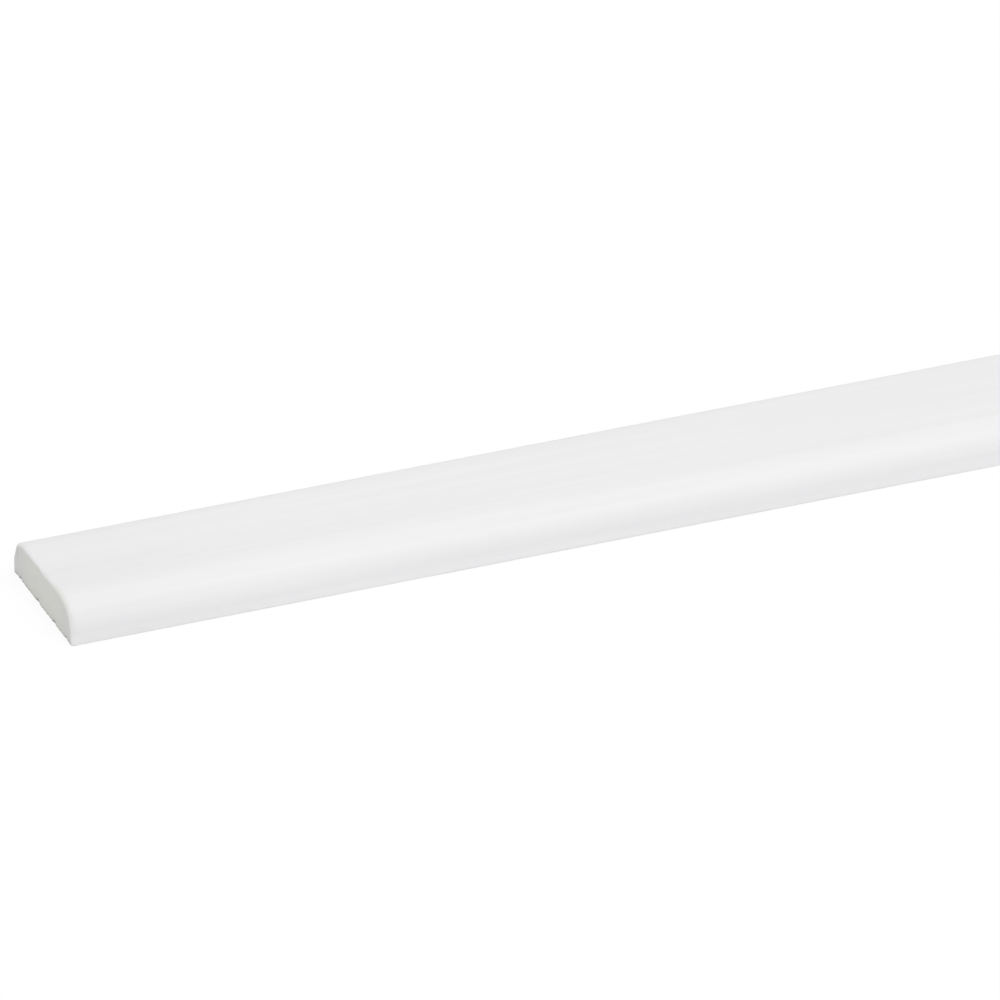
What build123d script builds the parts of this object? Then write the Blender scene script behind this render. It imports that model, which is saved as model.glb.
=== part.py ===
from build123d import *
import os

# Cover strip: a thin painted wooden moulding that is glued or pinned over the
# joint between a frame and a wall. It is one length of planed stock, with a
# flat back, a flat face and two rounded upper edges, and it is sawn square at
# both ends.
#
# Millimetres. +X runs along the strip, +Y across it and +Z up out of its face.
# The origin is in the plane of the flat back, at the middle of the strip.

# The stock as it is sold
strip_length = 2400.0
strip_width = 20.0
strip_thickness = 5.0

# The rounded upper edges, each a quarter of an ellipse
edge_round_width = 4.3     # how far the rounding reaches in over the face
edge_round_height = 3.6    # how far it reaches down the side

# The sawn ends
end_arris_radius = 0.85    # the upper arris, eased by sanding and paint


def moulded_section():
    """Section across the strip: square lower corners and elliptical upper ones."""
    side_y = strip_width / 2
    side_top = strip_thickness - edge_round_height
    face_y = side_y - edge_round_width
    with BuildSketch(Plane.YZ) as section:
        with BuildLine():
            Polyline((-side_y, side_top), (-side_y, 0), (side_y, 0), (side_y, side_top))
            EllipticalCenterArc(
                (face_y, side_top),
                edge_round_width,
                edge_round_height,
                start_angle=0,
                arc_size=90,
            )
            Line((face_y, strip_thickness), (-face_y, strip_thickness))
            EllipticalCenterArc(
                (-face_y, side_top),
                edge_round_width,
                edge_round_height,
                start_angle=90,
                arc_size=90,
            )
        make_face()
    return section.sketch


def end_arrises(strip):
    """Edges round both sawn ends, without the sharp one along the flat back."""
    edges = strip.faces().filter_by(Axis.X).edges()
    return edges.filter_by(lambda edge: edge.center().Z > 0)


def cover_strip():
    """One length of the moulding, lying on its back."""
    strip = extrude(moulded_section(), amount=strip_length / 2, both=True)
    return fillet(end_arrises(strip), radius=end_arris_radius)


os.makedirs("parts", exist_ok=True)
export_step(cover_strip(), "parts/cover_strip.step")
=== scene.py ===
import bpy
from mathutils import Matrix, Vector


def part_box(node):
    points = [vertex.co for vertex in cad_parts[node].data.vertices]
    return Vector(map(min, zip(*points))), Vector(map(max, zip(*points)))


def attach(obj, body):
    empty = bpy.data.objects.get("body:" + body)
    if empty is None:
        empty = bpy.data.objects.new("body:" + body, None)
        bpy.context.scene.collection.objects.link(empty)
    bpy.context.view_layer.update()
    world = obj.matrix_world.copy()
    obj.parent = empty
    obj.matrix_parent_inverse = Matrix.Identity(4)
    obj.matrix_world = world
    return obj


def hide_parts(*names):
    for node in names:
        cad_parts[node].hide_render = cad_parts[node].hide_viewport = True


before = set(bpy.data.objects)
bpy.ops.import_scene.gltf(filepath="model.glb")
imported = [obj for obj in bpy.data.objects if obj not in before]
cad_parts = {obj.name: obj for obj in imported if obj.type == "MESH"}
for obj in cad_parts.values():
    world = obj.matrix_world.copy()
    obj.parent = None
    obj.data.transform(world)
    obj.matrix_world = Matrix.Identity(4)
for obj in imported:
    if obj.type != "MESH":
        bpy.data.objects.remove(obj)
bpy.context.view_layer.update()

import math

import bmesh
import bpy
from mathutils import Matrix, Vector, noise

bl_info = {
    "name": "Cover Strip",
    "version": (1, 0, 0),
    "blender": (4, 5, 0),
    "location": "3D View > Sidebar > Cover Strip",
    "description": "A white-painted wooden cover strip with sawn ends, in a pale studio",
    "category": "Object",
}

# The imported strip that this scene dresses
NODE = "cover_strip"
BODY = "root"
LOW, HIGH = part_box(NODE)
LENGTH = HIGH.x - LOW.x
WIDTH = HIGH.y - LOW.y
THICKNESS = HIGH.z - LOW.z

MM = 0.001                 # a millimetre, in metres
SAWN = "sawn"              # mesh attribute: 1 on a sawn end and 0 on the planed faces
TORN = "torn"              # mesh attribute: how far an end's fibres are torn out
WORN = "worn"              # mesh attribute: how far the arris of an end is rubbed down
PHOTO_SIZE = 1000          # the photo's width and height, in pixels
SENSOR_WIDTH = 36.0        # the camera's film, in millimetres


class StripShape(bpy.types.PropertyGroup):
    """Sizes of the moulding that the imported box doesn't give."""

    edge_round_width: bpy.props.FloatProperty(
        name="Edge Round Width",
        description="How far each rounded edge reaches in over the face",
        default=4.3 * MM,
        min=0.5 * MM,
        unit="LENGTH",
    )
    edge_round_height: bpy.props.FloatProperty(
        name="Edge Round Height",
        description="How far each rounded edge reaches down the side",
        default=3.6 * MM,
        min=0.5 * MM,
        unit="LENGTH",
    )
    lower_arris: bpy.props.FloatProperty(
        name="Lower Arris",
        description="Radius that the paint gives the edges along the back",
        default=0.12 * MM,
        min=0.01 * MM,
        precision=5,
        unit="LENGTH",
    )
    face_arris: bpy.props.FloatProperty(
        name="Face Arris",
        description="Radius of the eased arris between a sawn end and the face",
        default=0.5 * MM,
        min=0.05 * MM,
        unit="LENGTH",
    )
    side_arris: bpy.props.FloatProperty(
        name="Side Arris",
        description="Radius of the eased arris between a sawn end and the sides",
        default=0.9 * MM,
        min=0.05 * MM,
        unit="LENGTH",
    )
    foot_arris: bpy.props.FloatProperty(
        name="Foot Arris",
        description="Radius that the side arris runs out to at one lower corner of each end",
        default=0.3 * MM,
        min=0.02 * MM,
        precision=5,
        unit="LENGTH",
    )
    arris_play: bpy.props.FloatProperty(
        name="Arris Play",
        description="Share by which sanding by hand makes the arris uneven",
        default=0.35,
        min=0.0,
        max=0.8,
        subtype="FACTOR",
    )
    wear: bpy.props.FloatProperty(
        name="Wear",
        description="Share by which the face arris is wider where it is rubbed down",
        default=0.35,
        min=0.0,
        max=0.8,
        subtype="FACTOR",
    )
    ripple: bpy.props.FloatProperty(
        name="Planer Ripple",
        description="Depth of the faint unevenness along the planed faces",
        default=0.02 * MM,
        min=0.0,
        precision=6,
        unit="LENGTH",
    )
    saw_marks: bpy.props.FloatProperty(
        name="Saw Marks",
        description="Depth of the roughness that the saw leaves on the end grain",
        default=0.03 * MM,
        min=0.0,
        precision=6,
        unit="LENGTH",
    )
    tear: bpy.props.FloatProperty(
        name="Tear",
        description="Depth of the places where the saw tore fibres out of an end",
        default=0.15 * MM,
        min=0.0,
        precision=6,
        unit="LENGTH",
    )


class PaintLook(bpy.types.PropertyGroup):
    """Colours and sheen of the white paint."""

    paint: bpy.props.FloatVectorProperty(
        name="Paint",
        description="Colour of the paint on the planed faces",
        default=(0.8275, 0.8265, 0.8355),
        size=3,
        min=0.0,
        max=1.0,
        subtype="COLOR",
    )
    # Partly painted shade: the sawn end's paint is darker for the end grain, and darker again as
    # painted shade of the end that faces away from the light
    end_paint_and_shade: bpy.props.FloatVectorProperty(
        name="End Paint",
        description="Colour of the paint that has soaked into the sawn end grain",
        default=(0.665, 0.663, 0.65),
        size=3,
        min=0.0,
        max=1.0,
        subtype="COLOR",
    )
    # The resin tint is real; its darkness carries the same painted shade as the end paint
    end_stain_and_shade: bpy.props.FloatVectorProperty(
        name="End Stain",
        description="Colour of the patches where the wood's resin tints the sawn end",
        default=(0.695, 0.698, 0.655),
        size=3,
        min=0.0,
        max=1.0,
        subtype="COLOR",
    )
    thin_paint: bpy.props.FloatVectorProperty(
        name="Thin Paint",
        description="Colour where the paint is thin on an arris and the wood shows through",
        default=(0.776, 0.78, 0.739),
        size=3,
        min=0.0,
        max=1.0,
        subtype="COLOR",
    )
    # Colour of the dust, and also of the painted shade in torn fibres and of the painted contact
    # shadow along the foot
    grime_and_shadow: bpy.props.FloatVectorProperty(
        name="Grime",
        description="Colour of the dust in torn fibres and open pores",
        default=(0.33, 0.33, 0.315),
        size=3,
        min=0.0,
        max=1.0,
        subtype="COLOR",
    )
    # Painted shade: darkens the paint over the rounded edge and wall at -Y, where the light falls
    # off
    painted_side_shade: bpy.props.FloatProperty(
        name="Side Loss",
        description="Share of its brightness that the paint loses over the rounded edge at -Y",
        default=0.023,
        min=0.0,
        max=1.0,
        subtype="FACTOR",
    )
    # Darkens the planed faces towards each sawn end, over their last 32 mm
    end_loss: bpy.props.FloatProperty(
        name="End Loss",
        description="Share of its brightness that the thinner paint loses towards a sawn end",
        default=0.027,
        min=0.0,
        max=1.0,
        subtype="FACTOR",
    )
    roughness: bpy.props.FloatProperty(
        name="Roughness",
        description="Roughness of the satin paint",
        default=0.5,
        min=0.0,
        max=1.0,
        subtype="FACTOR",
    )


class StudioLook(bpy.types.PropertyGroup):
    """Floor and light of the studio."""

    floor: bpy.props.FloatProperty(
        name="Floor",
        description="How much light the pale floor gives back",
        default=0.9,
        min=0.0,
        max=1.0,
        subtype="FACTOR",
    )
    shadow: bpy.props.FloatProperty(
        name="Shadow",
        description="How much of the strip's shadow the white floor keeps",
        default=0.2,
        min=0.0,
        max=0.99,
        subtype="FACTOR",
    )
    ambient: bpy.props.FloatProperty(
        name="Ambient",
        description="Strength of the studio's even light",
        default=0.7247,
        min=0.0,
    )
    ambient_slant: bpy.props.FloatProperty(
        name="Ambient Slant",
        description="How much brighter the even light is in front than at the sides",
        default=0.2142,
        min=0.0,
    )
    ambient_tint: bpy.props.FloatVectorProperty(
        name="Ambient Tint",
        description="Colour of the even light, faintly cool",
        default=(0.981, 0.985, 1.0),
        size=3,
        min=0.0,
        max=1.0,
        subtype="COLOR",
    )
    key: bpy.props.FloatProperty(
        name="Key",
        description="Strength of the soft lamp over the strip",
        default=0.9947,
        min=0.0,
    )
    key_tint: bpy.props.FloatVectorProperty(
        name="Key Tint",
        description="Colour of the soft lamp, faintly warm",
        default=(1.0, 0.985, 0.947),
        size=3,
        min=0.0,
        max=1.0,
        subtype="COLOR",
    )


def studio_turn(azimuth, elevation):
    """Unit vector from the strip towards a place round it. Azimuth 0 is in front, at -Y."""
    level = math.cos(elevation)
    return Vector((
        math.sin(azimuth) * level,
        -math.cos(azimuth) * level,
        math.sin(elevation),
    ))


class Wire:
    """A socket of a shader tree. A sum on wires and numbers adds its Math nodes."""

    def __init__(self, shader, socket):
        self.shader = shader
        self.socket = socket

    def math(self, operation, *values):
        settings = {"operation": operation}
        return self.shader.node("ShaderNodeMath", settings, dict(enumerate(values)))

    def __add__(self, other):
        return self.math("ADD", self, other)

    def __radd__(self, other):
        return self.math("ADD", other, self)

    def __sub__(self, other):
        return self.math("SUBTRACT", self, other)

    def __rsub__(self, other):
        return self.math("SUBTRACT", other, self)

    def __mul__(self, other):
        return self.math("MULTIPLY", self, other)

    def __rmul__(self, other):
        return self.math("MULTIPLY", other, self)

    def __abs__(self):
        return self.math("ABSOLUTE", self)

    def rise(self, low, high):
        """0 below low, 1 above high and a smooth rise between them."""
        settings = {"interpolation_type": "SMOOTHSTEP"}
        sockets = {"Value": self, "From Min": low, "From Max": high}
        return self.shader.node("ShaderNodeMapRange", settings, sockets)


class Shader:
    """The node tree of one material or world."""

    def __init__(self, owner):
        owner.use_nodes = True
        self.tree = owner.node_tree
        self.tree.nodes.clear()

    def node(self, kind, settings=None, sockets=None, output=0):
        """Adds a node, sets it up, fills its sockets and returns the wire of one output."""
        node = self.tree.nodes.new(kind)
        for name, value in (settings or {}).items():
            setattr(node, name, value)
        for name, value in (sockets or {}).items():
            target = self.socket(node.inputs, name)
            if isinstance(value, Wire):
                self.tree.links.new(value.socket, target)
            else:
                target.default_value = value
        if not node.outputs:
            return None
        return Wire(self, self.socket(node.outputs, output))

    @staticmethod
    def socket(sockets, name):
        """The socket at this place, or the one in use with this name."""
        if isinstance(name, int):
            return sockets[name]
        return next(one for one in sockets if one.enabled and one.name == name)

    def mix(self, share, first, second, blend="MIX"):
        """The first colour, changed by this share towards the second or by it."""
        settings = {"data_type": "RGBA", "blend_type": blend}
        sockets = {"Factor": share, "A": first, "B": second}
        return self.node("ShaderNodeMix", settings, sockets, "Result")

    def place(self):
        """Wires of the point's X, Y and Z on the piece, in metres, and of the point itself."""
        point = self.node("ShaderNodeTexCoord", output="Object")
        parts = [
            self.node("ShaderNodeSeparateXYZ", None, {0: point}, axis)
            for axis in range(3)
        ]
        return parts, point

    def grain(self, point, pitch, detail, roughness):
        """Noise from 0 to 1 with this pitch along X, Y and Z, in metres."""
        scale = [1 / step for step in pitch]
        settings = {"operation": "MULTIPLY"}
        spread = self.node("ShaderNodeVectorMath", settings, {0: point, 1: scale})
        sockets = {
            "Vector": spread,
            "Scale": 1.0,
            "Detail": detail,
            "Roughness": roughness,
        }
        return self.node("ShaderNodeTexNoise", None, sockets)


def rgba(colour):
    """A colour with full alpha, as a colour socket takes it."""
    return (*colour, 1.0)


# Patterns in the paint: pitch along X, Y and Z, detail and roughness
PATTERNS = {
    "fibres": ((26 * MM, 0.55 * MM, 0.55 * MM), 3.0, 0.6),     # fine grain of the planed wood
    "bands": ((60 * MM, 1.9 * MM, 1.9 * MM), 2.0, 0.5),        # its wider grain
    "skin": ((1.8 * MM, 0.5 * MM, 0.5 * MM), 2.0, 0.5),        # the paint's own unevenness
    "pores": ((0.5 * MM, 0.35 * MM, 0.35 * MM), 3.0, 0.6),     # open pores of a sawn end
    "soak": ((2.0 * MM, 2.2 * MM, 1.4 * MM), 2.0, 0.5),        # resin stains on a sawn end
    "patches": ((3.0 * MM, 1.2 * MM, 1.2 * MM), 1.0, 0.5),     # thin paint on a worn arris
    # the specks break the painted contact shadow along the foot into dust specks
    "specks": ((4.0 * MM, 0.6 * MM, 0.6 * MM), 2.0, 0.5),      # dust along the foot
}
MIDDLE = 0.5               # the mean of such a pattern

# How far a pattern changes the paint's brightness
FIBRE_TONE, BAND_TONE, PORE_TONE = 0.04, 0.07, 0.1

# How deep a pattern is in the paint, in millimetres
FIBRE_DEPTH, BAND_DEPTH, SKIN_DEPTH = 0.014, 0.012, 0.004
PORE_DEPTH, SOAK_DEPTH = 0.020, 0.015

# Roughness that the fibres and the saw add to the paint's own
FIBRE_ROUGHNESS, SAWN_ROUGHNESS = 0.12, 0.2


def surface_parts(along, across, up):
    """Wires that are 1 on parts of the surface: corner, near end, heart, rounding and foot.

    The corner and the near end are measured in from a sawn end. The heart is the middle of
    the end grain, the rounding is the upper edge at -Y, and the foot lies along the back.
    """
    corner_reach = (0.2 * MM, 0.9 * MM)
    end_reach = (2 * MM, 32 * MM)
    heart_shift = 0.7 * MM           # how far the heart of the grain lies towards -Y
    heart_reach = (4 * MM, 7.5 * MM)
    round_across = (6.9 * MM, 8.3 * MM)
    round_up = (0.6 * MM, 1.9 * MM)
    foot_reach = (0.05 * MM, 0.24 * MM)
    from_end = LENGTH / 2 - abs(along)
    corner = 1 - from_end.rise(*corner_reach)
    near_end = 1 - from_end.rise(*end_reach)
    heart = 1 - abs(across + heart_shift).rise(*heart_reach)
    # The rounded edge at -Y, which carries painted shade
    rounding = (0 - across).rise(*round_across) * up.rise(*round_up)
    foot = 1 - up.rise(*foot_reach)
    return corner, near_end, heart, rounding, foot


def dust_and_shadow_share(sawn, torn, corner, foot, pores, specks):
    """How much dust lies in the pores, dust and painted shade in the torn fibres, and painted
    contact shadow with dust specks along the foot, most of it at the ends.
    """
    in_pores, dust_and_shade_in_tears = 0.15, 1.5
    # The foot's even darkening is a painted contact shadow, strongest near an end's corner and on
    # the sawn end
    on_sides, at_corner, on_end = 0.03, 0.2, 0.3
    side_specks, end_specks = 0.1, 0.25
    speck_edges = (0.5, 0.62)
    pore_edges = (0.6, 0.75)
    even = on_sides + at_corner * corner + on_end * sawn
    speckled = side_specks + end_specks * sawn
    shadow_and_specks_at_foot = even + speckled * specks.rise(*speck_edges)
    return in_pores * sawn * pores.rise(*pore_edges) + dust_and_shade_in_tears * torn + foot * shadow_and_specks_at_foot


def satin_white_paint(look):
    """White paint on planed softwood, whose grain just shows, and duller on the sawn ends. The sawn
    ends are also darkened by painted shade, and so are the -Y rounding and the foot.
    """
    material = bpy.data.materials.new("satin_white_paint")
    shader = Shader(material)
    (along, across, up), point = shader.place()
    sawn, torn, worn = [
        shader.node("ShaderNodeAttribute", {"attribute_name": name}, None, "Fac")
        for name in (SAWN, TORN, WORN)
    ]
    corner, near_end, heart, rounding, foot = surface_parts(along, across, up)
    fibres, bands, skin, pores, soak, patches, specks = [
        shader.grain(point, *pattern) for pattern in PATTERNS.values()
    ]

    # Where the paint is thin and where resin stains it, least where its pattern is weakest
    least_thin = 0.6
    patch_edges = (0.35, 0.65)
    thin = worn * (least_thin + (1 - least_thin) * patches.rise(*patch_edges))
    least_stain = 0.4
    soak_edges = (0.38, 0.62)
    stain = sawn * heart * (least_stain + (1 - least_stain) * soak.rise(*soak_edges))
    # Dust in the pores and torn fibres, with painted shade in the torn fibres and a painted contact
    # shadow along the foot
    dust_and_shadow = dust_and_shadow_share(sawn, torn, corner, foot, pores, specks)

    planed_tone = 1 + BAND_TONE * (bands - MIDDLE) + FIBRE_TONE * (fibres - MIDDLE)
    # painted_side_shade is painted shade on the -Y rounding; end_loss darkens the faces towards
    # each sawn end
    planed_tone = planed_tone * (1 - look.painted_side_shade * rounding) * (1 - look.end_loss * near_end)
    sawn_tone = 1 + PORE_TONE * (pores - MIDDLE)
    tone = planed_tone * (1 - sawn) + sawn_tone * sawn
    grey = shader.node("ShaderNodeCombineColor", None, {0: tone, 1: tone, 2: tone})
    base = shader.mix(thin, rgba(look.paint), rgba(look.thin_paint))
    # The sawn ends and the bare part of their arris take the end paint, which is partly painted
    # shade
    base = shader.mix(sawn, base, rgba(look.end_paint_and_shade))
    base = shader.mix(stain, base, rgba(look.end_stain_and_shade))
    base = shader.mix(dust_and_shadow, base, rgba(look.grime_and_shadow))
    base = shader.mix(1.0, base, grey, "MULTIPLY")

    planed_relief = fibres * FIBRE_DEPTH + bands * BAND_DEPTH + skin * SKIN_DEPTH
    sawn_relief = pores * PORE_DEPTH + soak * SOAK_DEPTH
    relief = planed_relief * (1 - sawn) + sawn_relief * sawn
    bump = shader.node(
        "ShaderNodeBump", None, {"Height": relief, "Strength": 1.0, "Distance": MM}
    )
    roughness = look.roughness + FIBRE_ROUGHNESS * (fibres - MIDDLE) + SAWN_ROUGHNESS * sawn
    surface = shader.node(
        "ShaderNodeBsdfPrincipled",
        None,
        {"Base Color": base, "Roughness": roughness, "IOR": 1.4, "Normal": bump},
    )
    shader.node("ShaderNodeOutputMaterial", None, {"Surface": surface})
    return material


def seen_by_camera(shader):
    """Wire that is 1 for the camera's rays, mirror rays and rays through glass."""
    ways = ("Is Camera Ray", "Is Glossy Ray", "Is Transmission Ray")
    seen, *others = [shader.node("ShaderNodeLightPath", output=way) for way in ways]
    for other in others:
        seen = seen.math("MAXIMUM", seen, other)
    return seen


# Steps across the section, from a lower corner up to the face and over it
LOWER_ARRIS_STEPS = 3
WALL_STEPS = 4
ROUND_STEPS = 16
FACE_STEPS = 80
WALL_CROWDING = 1.5        # above 1, the steps up the wall are closer together at its foot


def half_section(shape):
    """One side of the section from the back up to the face, as (point, way in), both (y, z).

    The way in is the one in which the eased arris of an end cuts the section back. It
    stays level up the wall, because the lower edge of an end is left sharp.
    """
    side = WIDTH / 2
    low = shape.lower_arris
    round_width = shape.edge_round_width
    round_height = shape.edge_round_height
    side_top = THICKNESS - round_height
    level = Vector((1.0, 0.0))
    points = []
    for step in range(LOWER_ARRIS_STEPS):
        turn = math.pi / 2 * step / LOWER_ARRIS_STEPS
        corner = Vector((low * (1 - math.sin(turn)) - side, low * (1 - math.cos(turn))))
        points.append((corner, level))
    for step in range(WALL_STEPS):
        rise = (side_top - low) * (step / WALL_STEPS) ** WALL_CROWDING
        points.append((Vector((-side, low + rise)), level))
    for step in range(ROUND_STEPS):
        turn = math.pi / 2 * step / ROUND_STEPS
        across = round_width * (1 - math.cos(turn))
        up = round_height * math.sin(turn)
        way_in = Vector((math.cos(turn) / round_width, -math.sin(turn) / round_height))
        points.append((Vector((across - side, side_top + up)), way_in.normalized()))
    return points


def section_outline(shape):
    """The section from one lower corner over the face to the other, as (point, way in)."""
    half = half_section(shape)
    reach = WIDTH / 2 - shape.edge_round_width
    down = Vector((0.0, -1.0))
    face = [
        (Vector((reach * (2 * step / FACE_STEPS - 1), THICKNESS)), down)
        for step in range(FACE_STEPS + 1)
    ]
    other_half = [
        (Vector((-point.x, point.y)), Vector((-way_in.x, way_in.y)))
        for point, way_in in reversed(half)
    ]
    return half + face + other_half


def distances_around(outline):
    """How far each point of the outline is from its first one, along the outline."""
    distances = [0.0]
    for (before, _), (after, _) in zip(outline, outline[1:]):
        distances.append(distances[-1] + (after - before).length)
    return distances


def smooth_rise(value, low, high):
    """0 below low, 1 above high and a smooth rise between them."""
    share = min(1.0, max(0.0, (value - low) / (high - low)))
    return share * share * (3 - 2 * share)


# Third coordinates of the noise, which keep its uses apart. At an end, they take the end's sign.
PLAY_LAYER = 5.0
BARE_LAYER = 31.0
FRINGE_LAYER = 23.0
COARSE_SAW_LAYER, FINE_SAW_LAYER = 11.0, 17.0
LONG_WAVE_LAYER, SHORT_WAVE_LAYER = 3.7, 8.2


def unevenness(across, up, pitch, layer):
    """Smooth noise from -1 to 1 at a place on a surface, with this pitch along both directions."""
    return noise.noise((across / pitch[0], up / pitch[1], layer))


class Ring:
    """One loop of points round the strip, open along the back, and where it lies when unrolled."""

    def __init__(self, points, along, marks=None):
        self.points = points
        self.along = along
        self.marks = marks or {}

    def grow(self, mesh):
        """Makes the ring's vertices, each with its share of every mark that the ring has."""
        self.vertices = [mesh.verts.new(point) for point in self.points]
        for name, shares in self.marks.items():
            layer = mesh.verts.layers.float[name]
            for vertex, share in zip(self.vertices, shares):
                vertex[layer] = share


def largest_arris(shape):
    """How far in from an end the eased arris can reach."""
    return max(shape.face_arris, shape.side_arris) * (1 + shape.arris_play)


def worn_share(end, point):
    """How far the arris is rubbed down where it passes this point of the outline, from 0 to 1."""
    middle = 6.2 * MM * end          # on the -X end, it lies on the -Y side
    reach = (1.5 * MM, 4 * MM)
    return 1 - smooth_rise(abs(point.x - middle), *reach)


def arris_radius(shape, end, point, way_in):
    """Radius of the eased arris where it passes this point of the outline."""
    play_pitch = (2.4 * MM, 2.4 * MM)
    foot_height = 1.2 * MM
    turn_to_side = (0.6, 0.85)       # how level the way in is where the side's radius sets in
    side_radius = shape.side_arris
    if point.x * end > 0:
        foot = 1 - smooth_rise(point.y, 0, foot_height)
        side_radius += (shape.foot_arris - shape.side_arris) * foot
    sideways = smooth_rise(abs(way_in.x), *turn_to_side)
    face_radius = shape.face_arris * (1 + shape.wear * worn_share(end, point))
    radius = face_radius + (side_radius - face_radius) * sideways
    play = unevenness(point.x, point.y, play_pitch, PLAY_LAYER * end)
    return radius * (1 + shape.arris_play * play)


def bare_share(end, point, turned, worn):
    """How far the arris looks like the sawn end, at this share of its turn away from the faces."""
    ragged_pitch = (1.1 * MM, 1.1 * MM)
    raggedness = 0.06
    start, full = 0.74, 0.9
    worn_start, worn_full = 0.48, 1.0
    ragged = raggedness * unevenness(point.x, point.y, ragged_pitch, BARE_LAYER * end)
    return smooth_rise(
        turned + ragged,
        start + (worn_start - start) * worn,
        full + (worn_full - full) * worn,
    )


def arris_rings(shape, outline, end):
    """Rings over the eased arris of one end, from the flat of the end to the planed faces."""
    arris_steps = 9
    thinning = (0.0, 0.4)            # the share of the turn over which worn paint thins
    rings = []
    for step in range(arris_steps, 0, -1):
        turned = step / arris_steps
        turn = math.pi / 2 * turned
        points = []
        marks = {SAWN: [], WORN: []}
        for point, way_in in outline:
            radius = arris_radius(shape, end, point, way_in)
            inset = point + way_in * radius * (1 - math.cos(turn))
            from_end = radius * (1 - math.sin(turn))
            points.append(Vector((end * (LENGTH / 2 - from_end), inset.x, inset.y)))
            worn = worn_share(end, point)
            marks[SAWN].append(bare_share(end, point, turned, worn))
            marks[WORN].append(worn * smooth_rise(turned, *thinning))
        unrolled = largest_arris(shape) * (1 - turn)
        rings.append(Ring(points, end * (LENGTH / 2 - unrolled), marks))
    return rings


def ripple_depth(shape, along, around):
    """How deep the planed surface lies under the true one, at least 0."""
    long_pitch, long_part = (110 * MM, 6 * MM), 0.7
    short_pitch, short_part = (35 * MM, 2.2 * MM), 0.3
    long_wave = unevenness(along, around, long_pitch, LONG_WAVE_LAYER)
    short_wave = unevenness(along, around, short_pitch, SHORT_WAVE_LAYER)
    return shape.ripple * (1 + long_part * long_wave + short_part * short_wave)


def planed_rings(shape, outline):
    """Rings along the planed faces, close together near the ends and evenly spaced between."""
    ring_pitch = 6.0 * MM
    settled = 12.0 * MM              # how far from an end the even spacing starts
    close_rings = 7
    fade_reach = 4 * MM              # over this much past the arris, the ripple sets in
    first = largest_arris(shape)
    close = [first + (settled - first) * (step / close_rings) ** 2 for step in range(close_rings)]
    count = round((LENGTH / 2 - settled) / ring_pitch)
    pitch = (LENGTH / 2 - settled) / count
    from_end = close + [settled + pitch * step for step in range(count + 1)]
    places = [place - LENGTH / 2 for place in from_end]
    places += [LENGTH / 2 - place for place in reversed(from_end[:-1])]
    around = distances_around(outline)
    rings = []
    for along in places:
        fade = min(1.0, (LENGTH / 2 - abs(along) - first) / fade_reach)
        points = []
        for (point, way_in), distance in zip(outline, around):
            depth = fade * ripple_depth(shape, along, distance) if point.y > 0 else 0.0
            sunk = point + way_in * depth
            points.append(Vector((along, sunk.x, sunk.y)))
        rings.append(Ring(points, along))
    return rings


# Where the saw tore fibres out of the -X end: middle (y, z), half size (y, z) and share torn out
TEARS = (
    ((7.2 * MM, 0.0), (0.50 * MM, 0.45 * MM), 0.9),
    ((1.4 * MM, 0.0), (0.75 * MM, 0.55 * MM), 1.0),
    ((-4.1 * MM, 0.0), (0.65 * MM, 0.60 * MM), 1.0),
    ((-8.0 * MM, 0.0), (0.45 * MM, 0.40 * MM), 0.9),
    ((8.1 * MM, 3.1 * MM), (0.24 * MM, 0.90 * MM), 0.3),
)


def torn_share(end, y, z):
    """How far the fibres are torn out at this place on a sawn end, from 0 to 1."""
    fringe_part = 0.5                # a ragged fringe runs along the whole lower edge
    fringe_height = 0.3 * MM
    fringe_pitch = 0.45 * MM
    fringe_level = 0.35
    fringe_line = 2.3                # the line along which the fringe's noise is read
    ragged = fringe_level + noise.noise((y / fringe_pitch, fringe_line, FRINGE_LAYER * end))
    share = fringe_part * max(0.0, ragged) * max(0.0, 1 - z / fringe_height)
    for middle, half, torn in TEARS if end < 0 else ():
        reach = math.hypot((y - middle[0]) / half[0], (z - middle[1]) / half[1])
        share = max(share, torn * (1 - reach))
    return share


def sawn_depth(shape, end, y, z):
    """How far the rough sawn end lies in from its flat."""
    coarse_pitch, coarse_part = (1.9 * MM, 1.3 * MM), 0.6
    fine_pitch, fine_part = (0.6 * MM, 0.5 * MM), 0.4
    coarse = unevenness(y, z, coarse_pitch, COARSE_SAW_LAYER * end)
    fine = unevenness(y, z, fine_pitch, FINE_SAW_LAYER * end)
    marks = shape.saw_marks * (1 + coarse_part * coarse + fine_part * fine) / 2
    return marks + shape.tear * torn_share(end, y, z)


class BakeSheet:
    """A square on which the strip's skin is laid flat in rows, so that a baked finish is sharp."""

    rows = 8
    gap = 1.2 * MM
    back_height = 8.0 * MM       # the plain back gets less room than its real width
    end_scale = 2.5              # the sawn ends get more than their real size
    end_spread = 0.22            # share of the sheet between its middle and each sawn end's
    spare = 8.0 * MM             # for faces that reach past the end of their row

    def __init__(self, girth):
        self.girth = girth
        self.row_length = LENGTH / self.rows
        self.row_height = girth + self.back_height + self.gap
        self.ends_at = self.rows * self.row_height + self.gap
        height = self.ends_at + THICKNESS * self.end_scale + self.gap
        self.side = max(height, self.row_length + self.spare)

    def row(self, along):
        """The row on which this place along the strip lies."""
        return min(self.rows - 1, max(0, int((along + LENGTH / 2) / self.row_length)))

    def skin_place(self, row, along, around):
        """Where a point of the skin lies on the sheet, from 0 to 1."""
        right = self.gap + along + LENGTH / 2 - row * self.row_length
        up = self.gap / 2 + row * self.row_height + around
        return right / self.side, up / self.side

    def back_place(self, row, point):
        """Where a point of the flat back lies on the sheet."""
        across = 0.5 - point.y / WIDTH
        return self.skin_place(row, point.x, self.girth + self.back_height * across)

    def end_place(self, end, point):
        """Where a point of a sawn end lies on the sheet."""
        middle = self.side * (0.5 + self.end_spread * end)
        up = self.ends_at + point.z * self.end_scale
        return (middle + point.y * self.end_scale) / self.side, up / self.side


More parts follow.
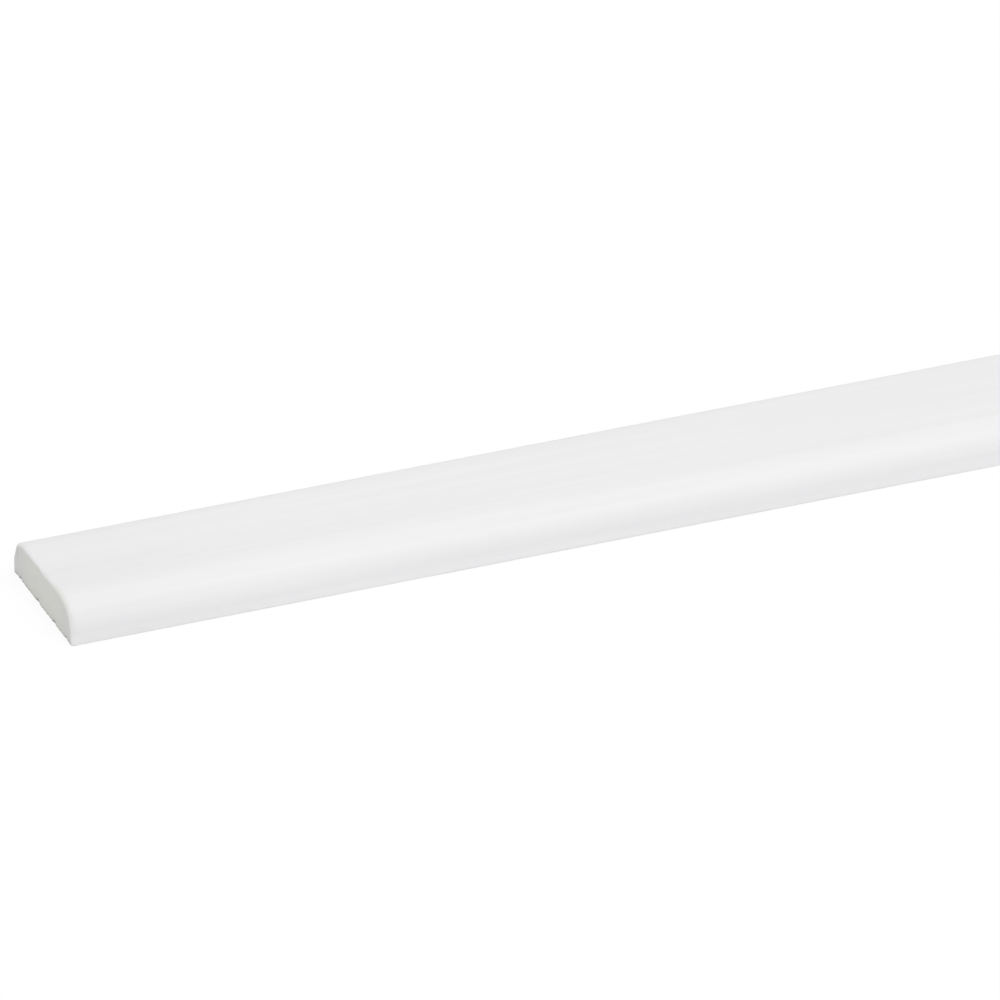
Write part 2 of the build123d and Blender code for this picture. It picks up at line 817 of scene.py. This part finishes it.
class StripSkin:
    """Grows the strip's closed mesh, face by face, with each face's place on the bake sheet."""

    def __init__(self, outline):
        self.mesh = bmesh.new()
        for name in (SAWN, TORN, WORN):
            self.mesh.verts.layers.float.new(name)
        self.sawn = self.mesh.verts.layers.float[SAWN]
        self.torn = self.mesh.verts.layers.float[TORN]
        self.places = self.mesh.loops.layers.uv.new("OFBake")
        self.around = distances_around(outline)
        self.sheet = BakeSheet(self.around[-1])

    def face(self, vertices, places):
        """Adds a face with a place on the sheet for each corner."""
        made = self.mesh.faces.new(vertices)
        made.smooth = True
        for loop, place in zip(made.loops, places):
            loop[self.places].uv = place

    def span(self, ring, after):
        """Closes the skin between two rings, from one lower corner over the face to the other."""
        row = self.sheet.row((ring.along + after.along) / 2)
        for side in range(len(self.around) - 1):
            corners = ((ring, side), (after, side), (after, side + 1), (ring, side + 1))
            vertices = [one.vertices[spot] for one, spot in corners]
            places = [
                self.sheet.skin_place(row, one.along, self.around[spot]) for one, spot in corners
            ]
            self.face(vertices, places)

    def back(self, vertices):
        """Adds a face of the flat back."""
        middle = sum(vertex.co.x for vertex in vertices) / len(vertices)
        row = self.sheet.row(middle)
        self.face(vertices, [self.sheet.back_place(row, vertex.co) for vertex in vertices])

    def cap(self, shape, ring, end):
        """Closes a sawn end with a rough grid of faces. Returns the vertices of its lower edge."""
        settled = 0.4 * MM       # how far in from its rim the saw's marks reach their full depth
        levels = len(half_section(shape))
        face_row = ring.vertices[levels:levels + FACE_STEPS + 1]
        rows = []
        for level in range(levels):
            first, last = ring.vertices[level], ring.vertices[-1 - level]
            row = [first]
            for step in range(1, FACE_STEPS):
                place = first.co.lerp(last.co, step / FACE_STEPS)
                gap = min(place.y - first.co.y, last.co.y - place.y, face_row[step].co.z - place.z)
                depth = sawn_depth(shape, end, place.y, place.z) * min(1.0, max(0.0, gap / settled))
                vertex = self.mesh.verts.new(place - Vector((end * depth, 0, 0)))
                vertex[self.sawn] = 1.0
                vertex[self.torn] = torn_share(end, place.y, place.z)
                row.append(vertex)
            rows.append(row + [last])
        rows.append(face_row)
        for lower, upper in zip(rows, rows[1:]):
            for step in range(FACE_STEPS):
                corners = (lower[step], lower[step + 1], upper[step + 1], upper[step])
                self.face(corners, [self.sheet.end_place(end, corner.co) for corner in corners])
        return rows[0]

    def finish(self):
        """The finished mesh, with its creases kept sharp."""
        crease = math.radians(35)    # an edge that turns by more than this stays sharp
        bmesh.ops.recalc_face_normals(self.mesh, faces=self.mesh.faces)
        for edge in self.mesh.edges:
            edge.smooth = edge.calc_face_angle() < crease
        data = bpy.data.meshes.new("strip")
        self.mesh.to_mesh(data)
        self.mesh.free()
        return data


def build_strip_mesh(shape):
    """The strip's mesh, from one sawn end over the planed faces to the other."""
    outline = section_outline(shape)
    skin = StripSkin(outline)
    planed = planed_rings(shape, outline)
    eased = {end: arris_rings(shape, outline, end) for end in (-1, 1)}
    rings = eased[-1] + planed + eased[1][::-1]
    for ring in rings:
        ring.grow(skin.mesh)
    for ring, after in zip(rings, rings[1:]):
        skin.span(ring, after)
    for ring, after in zip(planed, planed[1:]):
        skin.back([ring.vertices[0], ring.vertices[-1], after.vertices[-1], after.vertices[0]])
    for end, nearest in ((-1, planed[0]), (1, planed[-1])):
        flat, *curve = eased[end]
        lower_edge = skin.cap(shape, flat, end)
        curve.append(nearest)
        far_side = [ring.vertices[-1] for ring in curve]
        near_side = [ring.vertices[0] for ring in reversed(curve)]
        skin.back(lower_edge + far_side + near_side)
    return skin.finish()


class COVERSTRIP_OT_moulding(bpy.types.Operator):
    """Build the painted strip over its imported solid"""

    bl_idname = "cover_strip.moulding"
    bl_label = "Painted Strip"

    def execute(self, context):
        scene = context.scene
        data = build_strip_mesh(scene.strip_shape)
        data.materials.append(satin_white_paint(scene.paint_look))
        strip = bpy.data.objects.new("painted_strip", data)
        scene.collection.objects.link(strip)
        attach(strip, BODY)
        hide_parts(NODE)
        return {"FINISHED"}


class COVERSTRIP_OT_studio(bpy.types.Operator):
    """Lay the pale floor, hang the soft light and set up the camera"""

    bl_idname = "cover_strip.studio"
    bl_label = "Studio"

    def execute(self, context):
        scene = context.scene
        look = scene.studio_look
        lay_floor(scene, look)
        hang_light(scene, look)
        set_camera(scene)
        scene.view_settings.view_transform = "Standard"
        return {"FINISHED"}


def lay_floor(scene, look):
    """A wide floor that looks white and keeps a part of the strip's shadow."""
    reach = 60.0                     # in metres, so that its rim is never near the strip
    drop = 0.02 * MM                 # keeps the floor just clear of the strip's back
    mesh = bmesh.new()
    bmesh.ops.create_grid(mesh, x_segments=1, y_segments=1, size=reach)
    data = bpy.data.meshes.new("floor")
    mesh.to_mesh(data)
    mesh.free()
    floor = bpy.data.objects.new("floor", data)
    floor.location.z = LOW.z - drop
    scene.collection.objects.link(floor)

    # The glow makes up what the lit floor lacks to a full white
    material = bpy.data.materials.new("pale_floor")
    shader = Shader(material)
    tone = rgba([look.floor] * 3)
    matt = shader.node("ShaderNodeBsdfDiffuse", None, {"Color": tone})
    glow = (1 - look.shadow * look.floor) / (1 - look.shadow)
    white = shader.node("ShaderNodeEmission", None, {"Color": rgba([1.0] * 3), "Strength": glow})
    share = seen_by_camera(shader) * (1 - look.shadow)
    surface = shader.node("ShaderNodeMixShader", None, {0: share, 1: matt, 2: white})
    shader.node("ShaderNodeOutputMaterial", None, {"Surface": surface})
    data.materials.append(material)


def hang_light(scene, look):
    """Even light from all round, stronger from the front, and one soft lamp above."""
    lamp_azimuth = math.radians(10)
    lamp_elevation = math.radians(80)
    lamp_spread = math.radians(70)
    world = bpy.data.worlds.new("studio")
    scene.world = world
    shader = Shader(world)
    way = shader.node("ShaderNodeTexCoord", output="Generated")
    back = shader.node("ShaderNodeSeparateXYZ", None, {0: way}, "Y")
    even = look.ambient - look.ambient_slant * back
    cool = rgba(look.ambient_tint)
    lit = shader.node("ShaderNodeBackground", None, {"Color": cool, "Strength": even})
    plain = rgba([1.0] * 3)
    white = shader.node("ShaderNodeBackground", None, {"Color": plain, "Strength": 1.0})
    share = seen_by_camera(shader)
    surface = shader.node("ShaderNodeMixShader", None, {0: share, 1: lit, 2: white})
    shader.node("ShaderNodeOutputWorld", None, {"Surface": surface})

    lamp = bpy.data.lights.new("overhead_softbox", "SUN")
    lamp.energy = look.key
    lamp.color = look.key_tint
    lamp.angle = lamp_spread
    holder = bpy.data.objects.new("overhead_softbox", lamp)
    towards = studio_turn(lamp_azimuth, lamp_elevation)
    holder.rotation_mode = "QUATERNION"
    holder.rotation_quaternion = towards.to_track_quat("Z", "Y")
    scene.collection.objects.link(holder)


def set_camera(scene):
    """The photo's view of the strip's -X end, through a long lens."""
    azimuth = math.radians(-21.85)
    elevation = math.radians(28.87)
    focal_pixels = 15000
    distance = 1737.0 * MM
    corner_pixel = (72.0, 646.74)    # where the photo shows the near lower corner of the end
    back = studio_turn(azimuth, elevation)
    right = Vector((math.cos(azimuth), math.sin(azimuth), 0))
    up = back.cross(right)
    corner = Vector((LOW.x, LOW.y, LOW.z))
    pixel = distance / focal_pixels
    shift_right = (corner_pixel[0] - PHOTO_SIZE / 2) * pixel
    shift_up = (PHOTO_SIZE / 2 - corner_pixel[1]) * pixel
    data = bpy.data.cameras.new("photo_camera")
    data.sensor_width = SENSOR_WIDTH
    data.lens = focal_pixels * SENSOR_WIDTH / PHOTO_SIZE
    data.clip_start = 0.01
    data.clip_end = 200.0
    camera = bpy.data.objects.new("photo_camera", data)
    turn = Matrix((right, up, back)).transposed()
    camera.rotation_mode = "QUATERNION"
    camera.rotation_quaternion = turn.to_quaternion()
    camera.location = corner - right * shift_right - up * shift_up + back * distance
    scene.collection.objects.link(camera)
    scene.camera = camera


class VIEW3D_PT_cover_strip(bpy.types.Panel):
    """Sizes, colours and builders of the cover strip"""

    bl_label = "Cover Strip"
    bl_idname = "VIEW3D_PT_cover_strip"
    bl_space_type = "VIEW_3D"
    bl_region_type = "UI"
    bl_category = "Cover Strip"

    def draw(self, context):
        scene = context.scene
        groups = (
            ("Shape", scene.strip_shape),
            ("Paint", scene.paint_look),
            ("Studio", scene.studio_look),
        )
        for title, group in groups:
            box = self.layout.box()
            box.label(text=title)
            for name in group.__annotations__:
                box.prop(group, name)
        for builder in BUILDERS:
            self.layout.operator(builder.bl_idname)


GROUPS = {
    "strip_shape": StripShape,
    "paint_look": PaintLook,
    "studio_look": StudioLook,
}
BUILDERS = (COVERSTRIP_OT_moulding, COVERSTRIP_OT_studio)
CLASSES = (*GROUPS.values(), *BUILDERS, VIEW3D_PT_cover_strip)


def register():
    for one in CLASSES:
        bpy.utils.register_class(one)
    for name, group in GROUPS.items():
        setattr(bpy.types.Scene, name, bpy.props.PointerProperty(type=group))


def unregister():
    for name in GROUPS:
        delattr(bpy.types.Scene, name)
    for one in reversed(CLASSES):
        bpy.utils.unregister_class(one)


def main():
    register()
    bpy.ops.cover_strip.moulding()
    bpy.ops.cover_strip.studio()


if __name__ == "__main__":
    main()
